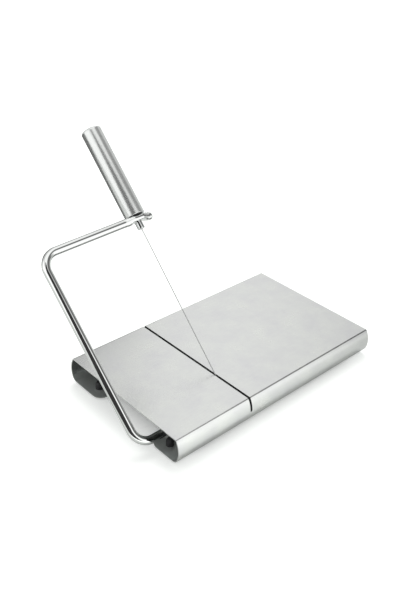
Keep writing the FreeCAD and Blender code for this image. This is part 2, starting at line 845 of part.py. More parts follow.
# Handle: a tube drawn with a closed end, its threaded insert, and the washer below it
def make_handle():
    outer = S.grip / 2
    inner = outer - S.grip_wall
    tube = turned("handle_tube_body", [
        (inner, 0),
        (outer, 0),
        (outer, S.grip_length),
        (0, S.grip_length),
        (0, S.grip_length - S.grip_wall),
        (inner, S.grip_length - S.grip_wall),
    ])
    round_edges(tube, "handle_end_round", rim(outer, S.grip_length), S.grip_round)
    doc.recompute()
    round_edges(tube, "handle_rim_round", rim(outer, 0), S.grip_rim)
    on_grip(tube, GRIP_BOTTOM)
    keep(tube, "handle_tube")

    insert = turned("handle_insert_body", [
        (S.thread / 2 + S.running_gap, 0),
        (inner - S.seat_gap, 0),
        (inner - S.seat_gap, S.insert_length),
        (S.thread / 2 + S.running_gap, S.insert_length),
    ])
    on_grip(insert, GRIP_BOTTOM)
    keep(insert, "handle_insert")

    washer = turned("handle_washer_body", [
        (S.ferrule / 2 + S.washer_play, 0),
        (S.washer_outer / 2, 0),
        (S.washer_outer / 2, S.washer),
        (S.ferrule / 2 + S.washer_play, S.washer),
    ])
    on_grip(washer, EYE_TOP)
    keep(washer, "handle_washer")


make_board()
make_feet()
make_lug("axle_lug_outer", OUTER_LUG_X, False)
make_lug("axle_lug_inner", INNER_LUG_X, True)
make_bush("axle_bush_outer", OUTER_LUG_X, False)
make_bush("axle_bush_inner", INNER_LUG_X, True)
make_clip("axle_clip_outer", OUTER_CLIP)
make_clip("axle_clip_inner", INNER_CLIP)
make_arm()
make_wire()
make_ball("wire_ball_lower", False, LOWER_BALL)
make_ball("wire_ball_upper", True, UPPER_BALL)
make_tension_screw()
make_handle()
doc.recompute()

for item in doc.Objects:
    if "Invalid" in item.State or "Error" in item.State:
        raise RuntimeError(f"{item.Name} failed: {item.State}")

os.makedirs("parts", exist_ok=True)
for node in nodes:
    shape = node.Shape
    if shape.isNull() or not shape.isValid():
        raise RuntimeError(f"{node.Label} has no valid shape")
    shape.exportStep(os.path.join("parts", f"{node.Label}.step"))
    box = shape.BoundBox
    print(f"{node.Label}: {len(shape.Solids)} solid, {shape.Volume:.1f} mm3, "
          f"x {box.XMin:.1f} to {box.XMax:.1f}, y {box.YMin:.1f} to {box.YMax:.1f}, "
          f"z {box.ZMin:.1f} to {box.ZMax:.1f}")
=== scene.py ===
# %% [markdown]
# A wire cheese slicer: a steel board with rolled long sides, and a bent chromed rod that swings on an
# axle under it. A taut wire runs from the axle to a tube handle and closes into a slot in the board.
# The solids of the model are the frame of this lesson and stay where they are. The pieces whose shine
# matters are built again as smooth surfaces, because a mirror shows every facet of a solid's mesh.

# %% Load the frame
import json
import math

import bpy
import numpy as np
from mathutils import Matrix, Vector


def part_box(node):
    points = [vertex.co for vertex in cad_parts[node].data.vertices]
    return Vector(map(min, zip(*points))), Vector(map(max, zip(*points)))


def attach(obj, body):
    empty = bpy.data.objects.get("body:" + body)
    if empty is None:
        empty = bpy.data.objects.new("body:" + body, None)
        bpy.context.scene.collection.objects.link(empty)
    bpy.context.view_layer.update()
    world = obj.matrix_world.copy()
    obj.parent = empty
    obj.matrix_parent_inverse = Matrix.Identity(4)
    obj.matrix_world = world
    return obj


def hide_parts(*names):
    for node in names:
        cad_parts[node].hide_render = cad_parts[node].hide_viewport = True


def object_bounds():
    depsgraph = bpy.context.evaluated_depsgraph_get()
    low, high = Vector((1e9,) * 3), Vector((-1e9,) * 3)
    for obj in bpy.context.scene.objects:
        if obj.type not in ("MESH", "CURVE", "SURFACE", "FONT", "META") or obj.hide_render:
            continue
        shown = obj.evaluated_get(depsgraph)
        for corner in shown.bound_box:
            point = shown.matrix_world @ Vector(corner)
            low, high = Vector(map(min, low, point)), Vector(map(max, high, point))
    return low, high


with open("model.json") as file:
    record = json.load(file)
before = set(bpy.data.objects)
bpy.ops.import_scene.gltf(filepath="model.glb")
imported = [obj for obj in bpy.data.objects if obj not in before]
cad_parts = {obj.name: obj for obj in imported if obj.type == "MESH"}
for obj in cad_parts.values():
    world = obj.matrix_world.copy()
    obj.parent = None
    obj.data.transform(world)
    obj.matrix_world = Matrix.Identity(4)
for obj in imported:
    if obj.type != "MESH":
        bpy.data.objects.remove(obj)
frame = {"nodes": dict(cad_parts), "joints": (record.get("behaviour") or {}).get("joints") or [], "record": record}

solid_low, solid_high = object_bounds()
nodes = frame["nodes"]
joints = {joint["name"]: joint for joint in frame["joints"]}
MM = 0.001
print(len(nodes), "solids in a box of", [round(v / MM, 1) for v in solid_high - solid_low], "mm")

# %% [markdown]
# The camera stands off the left end and looks down at the board. A long lens keeps the edges nearly
# parallel, as in a product photograph. Its place and its three angles are written as plain numbers,
# because they belong to the picture and not to the object.

# %% Camera
camera_place = np.array((-371.35, -358.51, 361.58)) * MM
camera_turn = math.radians(-43.646)
camera_tip = math.radians(31.966)
camera_roll = math.radians(2.294)
camera_lens = 46.95


def camera_axes(turn, tip, roll):
    """Right, up and forward of a camera turned about Z, tipped down by tip, then rolled about its view."""
    forward = Vector((-math.sin(turn) * math.cos(tip), math.cos(turn) * math.cos(tip), -math.sin(tip)))
    level = Vector((math.cos(turn), math.sin(turn), 0))
    right = level * math.cos(roll) + level.cross(forward) * math.sin(roll)
    return right, right.cross(forward), forward


right, up, forward = camera_axes(camera_turn, camera_tip, camera_roll)
camera = bpy.data.objects.new("photo_camera", bpy.data.cameras.new("photo_camera"))
bpy.context.scene.collection.objects.link(camera)
camera.matrix_world = (Matrix.Translation(Vector(camera_place))
                       @ Matrix((right, up, -forward)).transposed().to_4x4())
camera.data.lens = camera_lens
bpy.context.scene.camera = camera
bpy.context.scene.view_settings.view_transform = "Standard"
print("camera is", round(Vector(camera_place).length, 3), "m from the middle of the cutting face")


# %% [markdown]
# Two short helpers build every finish from nodes. A node graph is easier to read as one line for each
# node, with its inputs named, than as a long list of links.

# %% Node helpers
def new_finish(name, colour, metallic, roughness):
    """A node material whose surface shader has its plain values set."""
    material = bpy.data.materials.new(name)
    material.use_nodes = True
    shader = material.node_tree.nodes["Principled BSDF"]
    shader.inputs["Base Color"].default_value = (*colour, 1)
    shader.inputs["Metallic"].default_value = metallic
    shader.inputs["Roughness"].default_value = roughness
    return material, material.node_tree, shader


def add(tree, kind, operation=None, **inputs):
    """A node with its inputs set by name or by number: a plain value, or another node's output to join."""
    node = tree.nodes.new("ShaderNode" + kind)
    if operation:
        node.operation = operation
    for key, value in inputs.items():
        socket = node.inputs[int(key[2:])] if key.startswith("in") else node.inputs[key.replace("_", " ")]
        if isinstance(value, bpy.types.NodeSocket):
            tree.links.new(value, socket)
        else:
            socket.default_value = value
    return node


# %% [markdown]
# The table is one sheet of pale paper. It takes the soft shadow of the lamp, and a little glow that
# only the camera sees lifts it to white, so the light on the object can stay plain. The glow fades out
# under and around the board, which paints a soft shadow there. Shiny surfaces see painted reflections
# in the paper: its colour is painted lighter or darker by place for them, and a patch in front glows for them only.

# %% Paper table
table_level = solid_low.z
table_half = 4.0
table_mesh = bpy.data.meshes.new("paper_table")
table_mesh.from_pydata(
    [(x * table_half, y * table_half, table_level) for x, y in ((-1, -1), (1, -1), (1, 1), (-1, 1))],
    [], [(0, 1, 2, 3)])
table = bpy.data.objects.new("paper_table", table_mesh)
bpy.context.scene.collection.objects.link(table)
paper, tree, shader = new_finish("pale paper", (0.80, 0.82, 0.80), 0, 1)
shader.inputs["Specular IOR Level"].default_value = 0
rays = add(tree, "LightPath")
place = add(tree, "TexCoord").outputs["Object"]
# Painted shadow: the glow fades out under and around the board, so the paper reads darker there.
footprint = add(tree, "VectorMath", "ABSOLUTE", in0=place)
beyond = add(tree, "VectorMath", "SUBTRACT", in0=footprint.outputs[0], in1=(0.072, 0.040, 0))
outside = add(tree, "VectorMath", "MAXIMUM", in0=beyond.outputs[0], in1=(0, 0, -1))
flat = add(tree, "VectorMath", "MULTIPLY", in0=outside.outputs[0], in1=(1, 1, 0))
away = add(tree, "VectorMath", "LENGTH", in0=flat.outputs[0])
glow_outside_painted_shadow = add(tree, "MapRange", Value=away.outputs["Value"], From_Min=0.0, From_Max=0.03)
glow_outside_painted_shadow.interpolation_type = "SMOOTHSTEP"
to_camera = add(tree, "Math", "MULTIPLY", in0=rays.outputs["Is Camera Ray"], in1=0.42)
shown = add(tree, "Math", "MULTIPLY", in0=glow_outside_painted_shadow.outputs[0], in1=to_camera.outputs[0])
# Painted reflection: for rays from shiny surfaces the paper's colour is painted lighter at the left, darker to the
# right, darker by the board's front edge and at its back left; depth carries this painted reflection level.
along = add(tree, "SeparateXYZ", Vector=place)
mirrored = add(tree, "MapRange", Value=along.outputs["X"], From_Min=-0.04, From_Max=0.14,
               To_Min=1.22, To_Max=0.74).outputs[0]
by_the_edge = add(tree, "MapRange", Value=along.outputs["Y"], From_Min=-0.073, From_Max=-0.066)
mirrored = add(tree, "Mix", Factor=by_the_edge.outputs[0], in2=mirrored, in3=0.86).outputs[0]
left = add(tree, "MapRange", Value=along.outputs["X"], From_Min=-0.13, From_Max=-0.16)
back = add(tree, "MapRange", Value=along.outputs["Y"], From_Min=-0.06, From_Max=0.0)
near = add(tree, "MapRange", Value=along.outputs["X"], From_Min=-0.30, From_Max=-0.22)
low = add(tree, "MapRange", Value=along.outputs["Y"], From_Min=0.22, From_Max=0.14)
left_back = add(tree, "Math", "MULTIPLY", in0=left.outputs[0], in1=back.outputs[0])
left_back = add(tree, "Math", "MULTIPLY", in0=left_back.outputs[0], in1=near.outputs[0])
left_back = add(tree, "Math", "MULTIPLY", in0=left_back.outputs[0], in1=low.outputs[0])
mirrored = add(tree, "Mix", Factor=left_back.outputs[0], in2=mirrored, in3=0.78).outputs[0]
depth = add(tree, "Mix", Factor=rays.outputs["Is Glossy Ray"], in2=1.0, in3=mirrored).outputs[0]
tinted = add(tree, "VectorMath", "SCALE", in0=(0.80, 0.82, 0.80), Scale=depth)
tree.links.new(tinted.outputs[0], shader.inputs["Base Color"])
# Painted reflection: a wedge of paper in front of the board glows for rays from shiny surfaces only, to light the
# reflection in the board's front rolled side.
behind_front = add(tree, "Math", "ADD", in0=along.outputs["Y"], in1=-0.05)
heading = add(tree, "Math", "ARCTAN2", in0=behind_front.outputs[0], in1=along.outputs["X"])
facing = add(tree, "MapRange", Value=heading.outputs[0], From_Min=math.radians(-41), From_Max=math.radians(-52))
in_front = add(tree, "MapRange", Value=along.outputs["Y"], From_Min=-0.07, From_Max=-0.26, To_Max=0.58)
painted_reflection_patch = add(tree, "Math", "MULTIPLY", in0=facing.outputs[0], in1=in_front.outputs[0])
to_mirrors = add(tree, "Math", "MULTIPLY", in0=painted_reflection_patch.outputs[0], in1=rays.outputs["Is Glossy Ray"])
lift = add(tree, "Math", "ADD", in0=shown.outputs[0], in1=to_mirrors.outputs[0])
glow = add(tree, "Emission", Color=(1, 1, 1, 1), Strength=lift.outputs[0])
lit = add(tree, "AddShader", in0=shader.outputs[0], in1=glow.outputs[0])
tree.links.new(lit.outputs[0], tree.nodes["Material Output"].inputs["Surface"])
table_mesh.materials.append(paper)
print("table at", round(table_level / MM, 2), "mm")

# %% [markdown]
# A mirror has no look of its own: it shows the room. Chrome reads as chrome when the room has white
# walls with a few black gaps between them, because the gaps give it its thin dark stripes. The room is
# painted in the world: each panel is a rectangle on the sky with soft edges, and only rays that come
# from a shiny surface see the panels. Everything else sees an even pale room.

# %% Studio room
room = bpy.data.worlds.new("studio room")
bpy.context.scene.world = room
room.use_nodes = True
tree = room.node_tree
towards = add(tree, "TexCoord").outputs["Generated"]


def sky_direction(azimuth, height):
    """The direction at an angle about Z from +X and at an angle above the table, both in degrees."""
    a, e = math.radians(azimuth), math.radians(height)
    return Vector((math.cos(a) * math.cos(e), math.sin(a) * math.cos(e), math.sin(e)))


def panel_mask(azimuth, height, half_wide, half_high, soft, lean=0):
    """1 inside a rectangle on the sky and 0 outside it.

    The ray is divided by its share along the panel's centre, which projects it on the panel's plane.
    There its sideways and upward places are compared with the half sizes, all as tangents.
    """
    centre = sky_direction(azimuth, height)
    side = Vector((-centre.y, centre.x, 0)).normalized()
    rise = centre.cross(side)
    turn = math.radians(lean)
    side, rise = side * math.cos(turn) + rise * math.sin(turn), rise * math.cos(turn) - side * math.sin(turn)
    share = add(tree, "VectorMath", "DOT_PRODUCT", in0=towards, in1=centre).outputs["Value"]
    inside = add(tree, "Math", "GREATER_THAN", in0=share, in1=0.01).outputs[0]
    for axis, half in ((side, half_wide), (rise, half_high)):
        across = add(tree, "VectorMath", "DOT_PRODUCT", in0=towards, in1=axis).outputs["Value"]
        place = add(tree, "Math", "DIVIDE", in0=across, in1=share).outputs[0]
        away = add(tree, "Math", "ABSOLUTE", in0=place).outputs[0]
        edge = add(tree, "MapRange", Value=away, From_Min=math.tan(math.radians(half + soft)),
                   From_Max=math.tan(math.radians(half - soft)))
        edge.interpolation_type = "SMOOTHSTEP"
        inside = add(tree, "Math", "MULTIPLY", in0=inside, in1=edge.outputs[0]).outputs[0]
    return inside


wall_level = 0.74
mirror_level = 0.55
panels = {
    "bright ceiling": dict(azimuth=0, height=89.9, half_wide=30, half_high=30, soft=6, level=1.03),
    "back right softbox": dict(azimuth=44, height=40, half_wide=11.5, half_high=20, soft=12, level=1.02),
    "left front window": dict(azimuth=175, height=18.4, half_wide=42, half_high=30, soft=7, level=1.18),
    "right front window": dict(azimuth=-78, height=18.4, half_wide=30, half_high=30, soft=6, level=1.08),
    "strip light at its foot": dict(azimuth=-78, height=0, half_wide=30, half_high=9, soft=4, level=1.42),
    "gap beside the softbox": dict(azimuth=-3, height=45, half_wide=17, half_high=9, soft=5, level=0.12),
    "gap between the walls": dict(azimuth=-28, height=32.5, half_wide=16, half_high=30, soft=4, lean=15,
                                  level=0.16),
}
level = mirror_level
for panel in panels.values():
    value = panel.pop("level")
    step = add(tree, "Mix", Factor=panel_mask(**panel), in2=level, in3=value)
    level = step.outputs[0]
seen = add(tree, "LightPath")
room_level = add(tree, "Mix", Factor=seen.outputs["Is Glossy Ray"], in2=wall_level, in3=level).outputs[0]
seen_level = add(tree, "Mix", Factor=seen.outputs["Is Camera Ray"], in2=room_level, in3=1.0).outputs[0]
tree.links.new(seen_level, tree.nodes["Background"].inputs["Strength"])
tree.nodes["Background"].inputs["Color"].default_value = (0.985, 1.0, 0.99, 1)
print(len(panels), "panels in the room")

# %% [markdown]
# Two black cards stand close to the object, where a sky cannot stand in for them: one between the
# camera and the side leg, and a low one behind the board. Only mirrors see them.

# %% Black cards
card_black, tree, shader = new_finish("black card", (0, 0, 0), 0, 1)
shader.inputs["Specular IOR Level"].default_value = 0
shader.inputs["Emission Color"].default_value = (1, 1, 1, 1)
shader.inputs["Emission Strength"].default_value = 0.04


def black_card(name, start, end, low, high):
    """An upright card over a line on the table, seen only by shiny surfaces. All in millimetres."""
    mesh = bpy.data.meshes.new(name)
    corners = [(*start, low), (*end, low), (*end, high), (*start, high)]
    mesh.from_pydata([Vector(corner) * MM for corner in corners], [], [(0, 1, 2, 3)])
    mesh.materials.append(card_black)
    card = bpy.data.objects.new(name, mesh)
    bpy.context.scene.collection.objects.link(card)
    card.visible_camera = card.visible_diffuse = card.visible_shadow = card.visible_transmission = False
    return card


black_card("card_beside_the_camera", (-243, 7), (-117, -172), -1, 560)
black_card("card_behind_the_board", (-147, 184), (119, 272), -23, 138)


# %% Softbox
def softbox(name, azimuth, height, distance, size, power):
    """A square soft lamp at a distance in a sky direction, facing the object."""
    lamp = bpy.data.lights.new(name, "AREA")
    lamp.shape = "SQUARE"
    lamp.size = size
    lamp.energy = power
    lamp_object = bpy.data.objects.new(name, lamp)
    bpy.context.scene.collection.objects.link(lamp_object)
    direction = sky_direction(azimuth, height)
    lamp_object.matrix_world = (Matrix.Translation(direction * distance)
                                @ direction.to_track_quat("Z", "Y").to_matrix().to_4x4())
    lamp_object.visible_glossy = False
    return lamp_object


softbox("softbox over the back right", 50, 62, 1.5, 0.9, 9)

# %% [markdown]
# The board is fine satin stainless: the grain has no direction, so a soft noise in the roughness and a
# very fine one in the bump are enough. A slow noise shifts the roughness a little over the plate, as
# handling does. All noise reads Object coordinates, so the grain has one size on every face.

# %% Finishes
def grained_metal(name, colour, roughness, spread, grain_size, grain_depth, cloud_size=35.0, stretch=(1, 1, 1), metal=1.0):
    """A metal with a fine grain and slow clouds in its roughness. Sizes are in millimetres."""
    material, tree, shader = new_finish(name, colour, metal, roughness)
    place = add(tree, "TexCoord").outputs["Object"]
    turned = add(tree, "Mapping", Vector=place, Scale=[s / MM for s in stretch]).outputs[0]
    clouds = add(tree, "TexNoise", Vector=turned, Scale=1 / cloud_size, Detail=3.0).outputs["Fac"]
    grain = add(tree, "TexNoise", Vector=turned, Scale=1 / grain_size, Detail=2.0).outputs["Fac"]
    both = add(tree, "Math", "MULTIPLY_ADD", in0=clouds, in1=0.7, in2=add(
        tree, "Math", "MULTIPLY", in0=grain, in1=0.3).outputs[0]).outputs[0]
    rough = add(tree, "MapRange", Value=both, From_Min=0.3, From_Max=0.7,
                To_Min=roughness - spread, To_Max=roughness + spread)
    tree.links.new(rough.outputs[0], shader.inputs["Roughness"])
    bump = add(tree, "Bump", Strength=grain_depth, Distance=0.02 * MM, Height=grain)
    tree.links.new(bump.outputs[0], shader.inputs["Normal"])
    return material


def brushed_sheet(name, colour, roughness, spread):
    """Sheet brushed along X on its outer face, and as it came from the mill on its inner face.

    The brush leaves fine furrows, so light spreads further across them than along them. The tangent is
    X turned into the world, and a quarter turn puts the wide spread across the furrows. The mesh says
    with its attribute which faces lie inside, where the sheet is smoother and its tint is painted darker as
    shade, and which are the slot's walls, painted near black as shade.
    """
    material, tree, shader = new_finish(name, colour, 1, roughness)
    shader.inputs["Anisotropic"].default_value = 0.5
    shader.inputs["Anisotropic Rotation"].default_value = 0.25
    kind = add(tree, "Attribute")
    kind.attribute_name = "sheet_face"
    end = add(tree, "Math", "COMPARE", in0=kind.outputs["Fac"], in1=3.0, in2=0.4).outputs[0]
    upright = add(tree, "VectorMath", "SCALE", in0=(-1, 0, 1), Scale=end)
    furrow = add(tree, "VectorMath", "ADD", in0=upright.outputs[0], in1=(1, 0, 0))
    along = add(tree, "VectorTransform", Vector=furrow.outputs[0])
    along.vector_type, along.convert_from, along.convert_to = "VECTOR", "OBJECT", "WORLD"
    tree.links.new(along.outputs[0], shader.inputs["Tangent"])
    within = add(tree, "Math", "COMPARE", in0=kind.outputs["Fac"], in1=1.0, in2=0.4).outputs[0]
    # Painted shade: the slot's walls are coloured near black with a high roughness, so the slot reads as a dark gap.
    painted_dark_slot = add(tree, "Math", "COMPARE", in0=kind.outputs["Fac"], in1=2.0, in2=0.4).outputs[0]
    place = add(tree, "TexCoord").outputs["Object"]
    combed = add(tree, "Mapping", Vector=place, Scale=(12, 900, 900)).outputs[0]
    streaks = add(tree, "TexNoise", Vector=combed, Scale=1.0, Detail=4.0, Roughness=0.65).outputs["Fac"]
    clouds = add(tree, "TexNoise", Vector=place, Scale=45.0, Detail=4.0, Roughness=0.6).outputs["Fac"]
    both = add(tree, "Math", "MULTIPLY_ADD", in0=clouds, in1=1.5, in2=add(
        tree, "Math", "MULTIPLY", in0=streaks, in1=0.5).outputs[0]).outputs[0]
    rough = add(tree, "MapRange", Value=both, From_Min=0.7, From_Max=1.3,
                To_Min=roughness - spread, To_Max=roughness + spread).outputs[0]
    rough = add(tree, "Mix", Factor=within, in2=rough, in3=0.15).outputs[0]
    rough = add(tree, "Mix", Factor=painted_dark_slot, in2=rough, in3=0.6).outputs[0]
    tree.links.new(rough, shader.inputs["Roughness"])
    shade = add(tree, "MapRange", Value=both, From_Min=0.6, From_Max=1.4).outputs[0]
    tint = add(tree, "MixRGB", Fac=shade, Color1=(*[c * t for c, t in zip(colour, (0.89, 0.88, 0.91))], 1),
               Color2=(*[c * t for c, t in zip(colour, (1.06, 1.07, 1.04))], 1)).outputs[0]
    # Painted shade: the inside faces, which all lie under the board, take a darker tint.
    tint = add(tree, "MixRGB", Fac=within, Color1=tint, Color2=(0.60, 0.62, 0.61, 1)).outputs[0]
    tint = add(tree, "MixRGB", Fac=painted_dark_slot, Color1=tint, Color2=(0.05, 0.05, 0.055, 1)).outputs[0]
    tree.links.new(tint, shader.inputs["Base Color"])
    height = add(tree, "SeparateXYZ", Vector=place).outputs["Z"]
    low = add(tree, "MapRange", Value=height, From_Min=-0.012, From_Max=-0.018).outputs[0]
    dusty = add(tree, "Math", "MULTIPLY", in0=low, in1=within).outputs[0]
    metal = add(tree, "Mix", Factor=dusty, in2=1.0, in3=0.55)
    tree.links.new(metal.outputs[0], shader.inputs["Metallic"])
    bump = add(tree, "Bump", Strength=0.06, Distance=0.02 * MM, Height=streaks)
    tree.links.new(bump.outputs[0], shader.inputs["Normal"])
    return material


def plain_finish(name, colour, roughness, spread, grain_size, depth):
    """A plastic or rubber with an even colour, slightly clouded, and a moulded grain."""
    material, tree, shader = new_finish(name, colour, 0, roughness)
    place = add(tree, "TexCoord").outputs["Object"]
    noise = add(tree, "TexNoise", Vector=place, Scale=1 / (grain_size * MM), Detail=3.0).outputs["Fac"]
    tint = add(tree, "MixRGB", Fac=noise, Color1=(*[c * (1 - spread) for c in colour], 1),
               Color2=(*[c * (1 + spread) for c in colour], 1)).outputs[0]
    tree.links.new(tint, shader.inputs["Base Color"])
    bump = add(tree, "Bump", Strength=depth, Distance=0.05 * MM, Height=noise)
    tree.links.new(bump.outputs[0], shader.inputs["Normal"])
    return material


finishes = {
    "board_steel": brushed_sheet("stainless brushed along its length", (0.77, 0.77, 0.765), 0.25, 0.03),
    "rod_chrome": grained_metal("bright chrome plate", (0.90, 0.905, 0.90), 0.04, 0.01, 2.0, 0.02),
    "grip_steel": grained_metal("satin stainless tube", (0.86, 0.865, 0.86), 0.25, 0.02, 0.5, 0.015, metal=0.8),
    "wire_steel": grained_metal("drawn stainless wire", (0.80, 0.80, 0.80), 0.35, 0.03, 0.3, 0.1),
    "screw_steel": grained_metal("turned stainless", (0.84, 0.85, 0.85), 0.07, 0.02, 0.4, 0.05),
    "insert_aluminium": grained_metal("turned aluminium", (0.75, 0.76, 0.77), 0.3, 0.05, 0.4, 0.2),
    "lug_steel": grained_metal("plain stainless strip", (0.62, 0.63, 0.64), 0.38, 0.06, 0.5, 0.3),
    "clip_steel": grained_metal("dark spring steel", (0.32, 0.32, 0.33), 0.4, 0.05, 0.3, 0.2),
    "bush_nylon": plain_finish("natural nylon", (0.80, 0.79, 0.75), 0.45, 0.04, 1.0, 0.1),
    "foot_rubber": plain_finish("black moulded rubber", (0.03, 0.03, 0.032), 0.62, 0.2, 0.6, 0.4),
    "washer_black": plain_finish("black washer plastic", (0.035, 0.035, 0.037), 0.5, 0.2, 0.5, 0.2),
}
slot_of = {part["node"]: part["material_slot"] for part in frame["record"]["subparts"]}
for name, node in nodes.items():
    for place in node.material_slots:
        place.material = finishes[slot_of[name]]
print(len(finishes), "finishes on", len(nodes), "solids")


# %% [markdown]
# Every new piece is a grid of points bent into a surface: one direction runs along the piece and the
# other round it. The helper joins neighbouring points with four-sided faces and closes both ends. The
# volume that the faces enclose has a sign, and a negative one says that they look inwards, so the
# helper turns them.

# %% Surface helpers
def enclosed_volume(points, quads):
    """Volume inside the faces: a sixth of the sum of corner products over their triangles."""
    corner = points[quads]
    halves = [(corner[:, 0], corner[:, 1], corner[:, 2]), (corner[:, 0], corner[:, 2], corner[:, 3])]
    return sum(np.einsum("ij,ij->i", a, np.cross(b, c)).sum() for a, b, c in halves) / 6


def closed_surface(name, rings, thin=False):
    """A closed mesh from rings of points, shape (rings, points round, 3). Both end rings are filled.

    The ring of a thin sheet runs along its outer face and back along its inner face. Each end is then
    filled with a strip of four-sided faces, each from a piece of the one face to the piece across it.
    """
    rows, round_count = rings.shape[:2]
    points = rings.reshape(-1, 3)
    i = np.arange(rows - 1)[:, None] * round_count
    j = np.arange(round_count)[None, :]
    after = (j + 1) % round_count
    quads = np.stack((i + j, i + after, i + round_count + after, i + round_count + j), axis=-1).reshape(-1, 4)
    first = np.arange(round_count)
    last = first + (rows - 1) * round_count
    inward = enclosed_volume(points - points.mean(0), quads) < 0
    faces = (quads[:, ::-1] if inward else quads).tolist()
    if thin:
        k = np.arange(round_count // 2 - 1)
        across = np.stack((k, k + 1, round_count - 2 - k, round_count - 1 - k), axis=-1)
        first, last = across, across + last[0]
    else:
        first, last = first[None, :], last[None, :]
    faces += (first if inward else first[:, ::-1]).tolist() + (last[:, ::-1] if inward else last).tolist()
    mesh = bpy.data.meshes.new(name)
    mesh.from_pydata(points.tolist(), [], faces)
    return mesh


def add_piece(name, mesh, body, slot, stands_for=(), sharp=35):
    """Puts a mesh in the scene as a piece that rides on a body, with the finish of its slot."""
    mesh.polygons.foreach_set("use_smooth", np.ones(len(mesh.polygons), bool))
    mesh.set_sharp_from_angle(angle=math.radians(sharp))
    mesh.materials.append(finishes[slot])
    piece = bpy.data.objects.new(name, mesh)
    bpy.context.scene.collection.objects.link(piece)
    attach(piece, body)
    if stands_for:
        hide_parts(*stands_for)
    print(name, len(mesh.vertices), "points,", len(mesh.polygons), "faces")
    return piece


def carved(name, mesh, cutters):
    """The mesh with each cutter mesh taken out of it, as one new mesh."""
    blank = bpy.data.objects.new(name, mesh)
    bpy.context.scene.collection.objects.link(blank)
    tools = []
    for index, cutter in enumerate(cutters):
        tool = bpy.data.objects.new(f"{name}_cutter_{index}", cutter)
        bpy.context.scene.collection.objects.link(tool)
        cut = blank.modifiers.new(tool.name, "BOOLEAN")
        cut.operation = "DIFFERENCE"
        cut.solver = "EXACT"
        cut.object = tool
        tools.append(tool)
    bpy.context.view_layer.update()
    result = bpy.data.meshes.new_from_object(blank.evaluated_get(bpy.context.evaluated_depsgraph_get()))
    for thing in (blank, *tools):
        bpy.data.objects.remove(thing)
    result.name = name
    return result


def turned_rings(profile, centre, axis, count=64):
    """A profile of (radius, height) points carried once round an axis: rings from the first to the last."""
    axis = np.array(axis, float) / np.linalg.norm(axis)
    side = np.cross(axis, (0, 0, 1) if abs(axis[2]) < 0.9 else (0, 1, 0))
    side /= np.linalg.norm(side)
    other = np.cross(axis, side)
    turn = np.linspace(0, 2 * math.pi, count, endpoint=False)
    spoke = np.cos(turn)[:, None] * side + np.sin(turn)[:, None] * other
    radius, height = np.asarray(profile, float).T
    return np.asarray(centre) + radius[:, None, None] * spoke + height[:, None, None] * axis


def reach_along(name, point, axis):
    """How far a solid reaches along an axis, lowest and highest, and its widest radius about it."""
    co = np.array([v.co for v in nodes[name].data.vertices])
    along = (co - point) @ axis
    off = np.linalg.norm(co - point - along[:, None] * axis, axis=1)
    return along.min(), along.max(), off.max()


# %% [markdown]
# The board starts as a flat sheet. Both long sides are rolled in three bends: a tight lip, the wide
# round side, and a smaller roll into the flange. The section is the same all along, so one closed
# outline, the outer face and the inner face a sheet's thickness apart, is carried along the length.
# Only the ends of the flanges step back, on a quarter circle.

# %% Board section
sheet = 0.8 * MM
lip = (1.4 * MM, 59)
side_bend = (19.5 * MM, 51)
roll = (5.8 * MM, 70)
board_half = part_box("board")[1].x
top_half = 60 * MM
flange_edges = {-1: 27.5 * MM, 1: 32 * MM}
flange_corner = 7.5 * MM


def rolled_edge(inset, flange_edge):
    """One rolled side as (across, height) points, from the flat top round to the flange's edge.

    Each bend is an arc that starts where the last one ends and in the same direction: its centre lies
    square to the heading, one radius away.
    """
    at, heading = np.array((top_half, -inset)), 0.0
    points = [at[None, :] - (0.4 * MM, 0), at[None, :]]
    for (radius, turn), count in zip((lip, side_bend, roll), (10, 20, 24)):
        radius = radius - inset
        centre = at + radius * np.array((-math.sin(heading), -math.cos(heading)))
        angle = heading + math.radians(turn) * np.linspace(0, 1, count + 1)[1:]
        points.append(centre + radius * np.stack((np.sin(angle), np.cos(angle)), axis=1))
        at, heading = points[-1][-1], angle[-1]
    edge = top_half - flange_edge
    quarter = np.radians(np.linspace(0, 90, 16))
    across = np.concatenate((np.linspace(at[0], edge + flange_corner, 4)[1:-1],
                             edge + flange_corner * (1 - np.sin(quarter))))
    points.append(np.stack((across, np.full_like(across, at[1])), axis=1))
    return np.concatenate(points)


def sheet_face(inset):
    """The whole face of the sheet, from the front flange's edge over the top to the back flange's edge."""
    front = rolled_edge(inset, flange_edges[-1])[::-1] * (-1, 1)
    return np.concatenate((front, rolled_edge(inset, flange_edges[1])))


outer, inner = sheet_face(0), sheet_face(sheet)
board_height = -outer[:, 1].min()
print("board is", round(board_height / MM, 2), "mm high and",
      round((outer[:, 0].max() - outer[:, 0].min()) / MM, 1), "mm wide")


# %% Board sheet
def end_setback(face):
    """How far each point of the section stands back from the board's end: a quarter circle at flange edges."""
    low = face[:, 1] < -board_height + sheet * 1.5
    edge = np.where(face[:, 0] < 0, -top_half + flange_edges[-1], top_half - flange_edges[1])
    inside = np.clip(flange_corner - np.abs(face[:, 0] - edge), 0, flange_corner)
    return np.where(low, flange_corner - np.sqrt(flange_corner ** 2 - inside ** 2), 0)


loop = np.concatenate((outer, inner[::-1]))
setback = end_setback(loop)
lengthways = np.array((-1.0, 1.0))
x = lengthways[:, None] * (board_half - setback)
rings = np.stack((x, np.broadcast_to(loop[:, 0], x.shape), np.broadcast_to(loop[:, 1], x.shape)), axis=-1)
board_blank = closed_surface("board_blank", rings, thin=True)

slot_x = joints["arm_swing"]["pos_m"][0]
slot_half = 1.0 * MM
slot_depths = {-1: 10.85 * MM, 1: 15.5 * MM}


